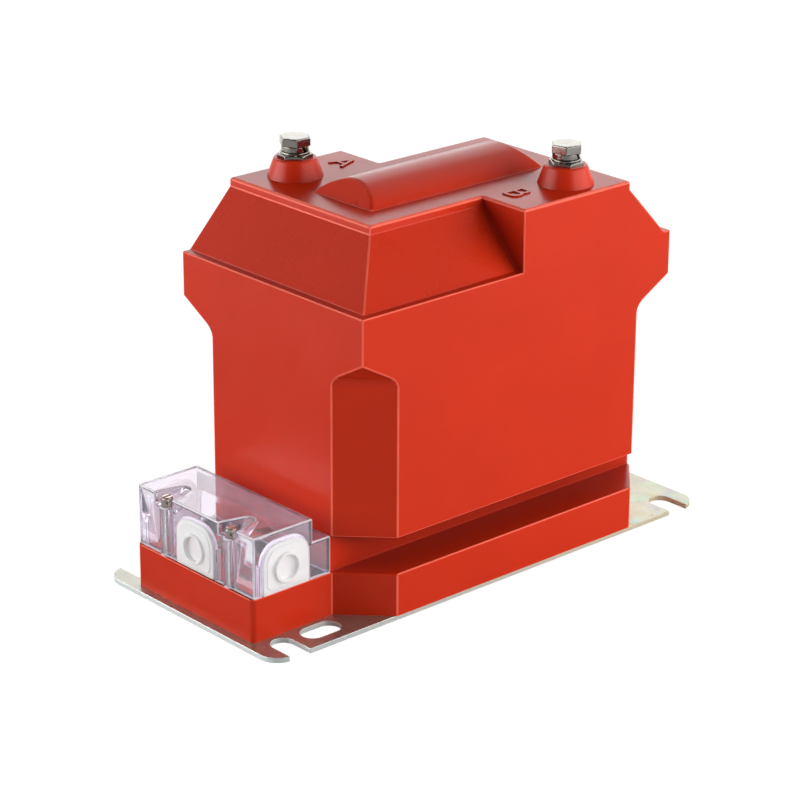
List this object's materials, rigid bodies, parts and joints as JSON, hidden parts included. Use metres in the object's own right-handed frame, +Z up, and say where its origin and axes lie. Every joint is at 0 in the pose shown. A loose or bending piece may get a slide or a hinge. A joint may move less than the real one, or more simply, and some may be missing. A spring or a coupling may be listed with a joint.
{
  "type": "indoor voltage transformer",
  "caption": "Resin-cast indoor voltage transformer on a slotted steel base plate, with bolted primary terminals on top and a clear cover over the secondary terminal block.",
  "frame": {"origin": "centre of the base plate's underside", "axes": "+X along the base plate, away from the terminal block; +Y to the long side on which primary terminal A stands; +Z up"},
  "size_m": [0.325, 0.15, 0.2368],
  "materials": {
    "epoxy_resin": "red cast epoxy resin, satin to glossy",
    "zinc_plated_steel": "zinc plated, with a faint yellow and green sheen",
    "stainless_steel": "plain turned and pressed stainless steel",
    "nickel_plated_brass": "nickel plated",
    "brass": "turned brass",
    "clear_plastic": "clear polycarbonate, glossy",
    "white_plastic": "milky white polyethylene",
    "core_steel": "wound silicon steel strip, bonded",
    "copper_winding": "enamelled copper wire",
    "insulating_tube": "pressed insulating paper"
  },
  "bodies": {
    "root": {"cast_resin_body": "epoxy_resin", "base_plate": "zinc_plated_steel", "plate_screws": "zinc_plated_steel", "plate_bushes": "brass", "primary_bush_a": "stainless_steel", "primary_bush_b": "stainless_steel", "plain_washer_a": "stainless_steel", "plain_washer_b": "stainless_steel", "spring_washer_a": "stainless_steel", "spring_washer_b": "stainless_steel", "primary_bolt_a": "stainless_steel", "primary_bolt_b": "stainless_steel", "terminal_cover": "clear_plastic", "cover_screw_left": "nickel_plated_brass", "cover_screw_right": "nickel_plated_brass", "cover_bush_left": "brass", "cover_bush_right": "brass", "cable_entry_front": "white_plastic", "cable_entry_left": "white_plastic", "cable_entry_right": "white_plastic", "secondary_bush_1": "brass", "secondary_bush_2": "brass", "secondary_bush_3": "brass", "secondary_bush_4": "brass", "secondary_screw_1": "nickel_plated_brass", "secondary_screw_2": "nickel_plated_brass", "secondary_screw_3": "nickel_plated_brass", "secondary_screw_4": "nickel_plated_brass", "secondary_washers": "nickel_plated_brass", "iron_core": "core_steel", "winding_former": "insulating_tube", "secondary_winding": "copper_winding", "insulation_barrier": "insulating_tube", "primary_winding": "copper_winding", "primary_lead_a": "copper_winding", "primary_lead_b": "copper_winding", "secondary_leads": "copper_winding"}
  },
  "joints": []
}
